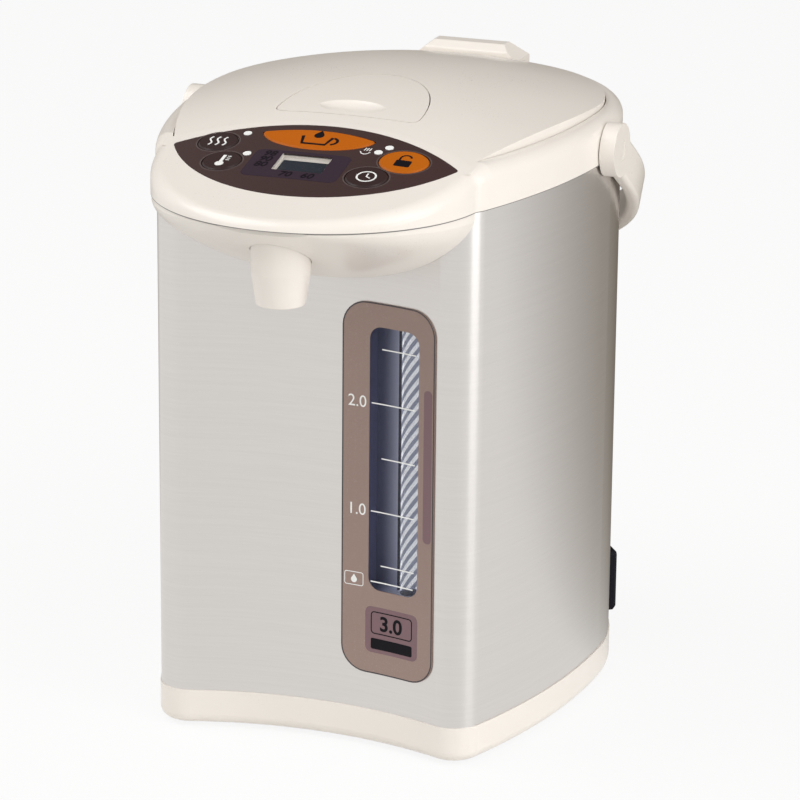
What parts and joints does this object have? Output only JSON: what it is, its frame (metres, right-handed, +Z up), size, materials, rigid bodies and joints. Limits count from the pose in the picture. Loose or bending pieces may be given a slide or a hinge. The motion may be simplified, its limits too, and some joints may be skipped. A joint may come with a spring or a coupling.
{
  "type": "electric thermo pot",
  "caption": "Electric hot-water dispenser pot with brushed steel body, hinged domed lid, panel of push keys on a beak over the spout, level window and swinging carry handle.",
  "frame": {"origin": "on the table, under the middle of the bounding box with the handle folded back", "axes": "+Z up, the spout faces -Y, +X is the pot's left-right axis with the level window on the +X side of the front"},
  "size_m": [0.2142, 0.3018, 0.2952],
  "materials": {
    "cream_plastic": "smooth cream moulding, semi-gloss",
    "brushed_steel": "vertically brushed, warm champagne tint",
    "polished_steel": "polished stainless steel",
    "brown_plastic": "dark brown, satin",
    "orange_key": "soft orange keys",
    "dark_key": "dark keys with a raised ring",
    "clear_plastic": "clear",
    "black_plastic": "black, fine texture",
    "grey_plastic": "plain grey",
    "white_plastic": "white",
    "rubber": "soft",
    "zinc_steel": "zinc plated sheet",
    "aluminium": "satin",
    "circuit_board": "green board"
  },
  "bodies": {
    "pot": {"base_plate": "grey_plastic", "base_screws": "brushed_steel", "base_skirt": "cream_plastic", "container_bracket": "zinc_steel", "control_board": "circuit_board", "control_panel": "brown_plastic", "delivery_hose": "rubber", "gauge_backing": "white_plastic", "gauge_housing": "black_plastic", "handle_pins": "brushed_steel", "heater_plate": "aluminium", "hinge_pin": "brushed_steel", "indicator_leds": "white_plastic", "inlet_pins": "polished_steel", "inner_container": "polished_steel", "key_mat": "rubber", "lcd_module": "circuit_board", "lcd_window": "clear_plastic", "level_tube": "clear_plastic", "outer_shell": "brushed_steel", "power_board": "circuit_board", "power_inlet": "black_plastic", "pump_hose": "rubber", "pump_housing": "black_plastic", "pump_motor": "zinc_steel", "rubber_feet": "rubber", "spout_cover": "cream_plastic", "spout_nozzle": "cream_plastic", "suction_sleeve": "rubber", "temperature_sensor": "aluminium", "top_casing": "cream_plastic", "window_lens": "clear_plastic", "window_plate": "brown_plastic"},
    "lid": {"lid_cover": "cream_plastic", "lid_base": "grey_plastic", "inner_lid_plate": "polished_steel", "lid_gasket": "rubber", "hinge_cover": "cream_plastic", "release_pin": "brushed_steel"},
    "release": {"release_plate": "cream_plastic"},
    "latch": {"latch_bolt": "grey_plastic"},
    "valve": {"tip_valve": "grey_plastic"},
    "handle": {"carry_handle": "cream_plastic"},
    "impeller": {"pump_impeller": "grey_plastic"},
    "rotor": {"drive_magnet": "grey_plastic"},
    "dispense_button": {"dispense_key": "orange_key"},
    "unlock_button": {"unlock_key": "orange_key"},
    "reboil_button": {"reboil_key": "dark_key"},
    "temperature_button": {"temperature_key": "dark_key"},
    "timer_button": {"timer_key": "dark_key"}
  },
  "joints": [
    {"name": "lid_hinge", "type": "hinge", "parent": "pot", "child": "lid", "pos_m": [0, 0.12391, 0.277], "axis": [-1, 0, 0], "range_deg": [0, 80]},
    {"name": "release_press", "type": "hinge", "parent": "lid", "child": "release", "pos_m": [0, 0.0004, 0.28863], "axis": [1, 0, 0], "range_deg": [0, 8], "stiffness_Nm_per_rad": 0.1, "springref_deg": -5.73},
    {"name": "latch_slide", "type": "slide", "parent": "lid", "child": "latch", "axis": [0, 1, 0], "range_m": [0, 0.004]},
    {"name": "valve_tip", "type": "slide", "parent": "lid", "child": "valve", "axis": [0, 0, 1], "range_m": [0, 0.0025]},
    {"name": "handle_swing", "type": "hinge", "parent": "pot", "child": "handle", "pos_m": [0, 0.02541, 0.265], "axis": [1, 0, 0], "range_deg": [0, 122]},
    {"name": "motor_spin", "type": "hinge", "parent": "pot", "child": "rotor", "pos_m": [0.028, -0.0046, 0.034], "axis": [0, 0, 1], "continuous": true},
    {"name": "impeller_spin", "type": "hinge", "parent": "pot", "child": "impeller", "pos_m": [0.028, -0.0046, 0.042], "axis": [0, 0, 1], "continuous": true},
    {"name": "dispense_press", "type": "slide", "parent": "pot", "child": "dispense_button", "axis": [0, 0.2504, -0.9681], "range_m": [0, 0.001], "stiffness_N_per_m": 1500, "springref_m": -0.0005},
    {"name": "unlock_press", "type": "slide", "parent": "pot", "child": "unlock_button", "axis": [0, 0.2504, -0.9681], "range_m": [0, 0.001], "stiffness_N_per_m": 1500, "springref_m": -0.0005},
    {"name": "reboil_press", "type": "slide", "parent": "pot", "child": "reboil_button", "axis": [0, 0.2504, -0.9681], "range_m": [0, 0.001], "stiffness_N_per_m": 1500, "springref_m": -0.0005},
    {"name": "temperature_press", "type": "slide", "parent": "pot", "child": "temperature_button", "axis": [0, 0.2504, -0.9681], "range_m": [0, 0.001], "stiffness_N_per_m": 1500, "springref_m": -0.0005},
    {"name": "timer_press", "type": "slide", "parent": "pot", "child": "timer_button", "axis": [0, 0.2504, -0.9681], "range_m": [0, 0.001], "stiffness_N_per_m": 1500, "springref_m": -0.0005}
  ],
  "couplings": [
    {"joint": "latch_slide", "follows": "release_press", "m_per_rad": 0.0285},
    {"joint": "impeller_spin", "follows": "motor_spin", "ratio": 1}
  ]
}
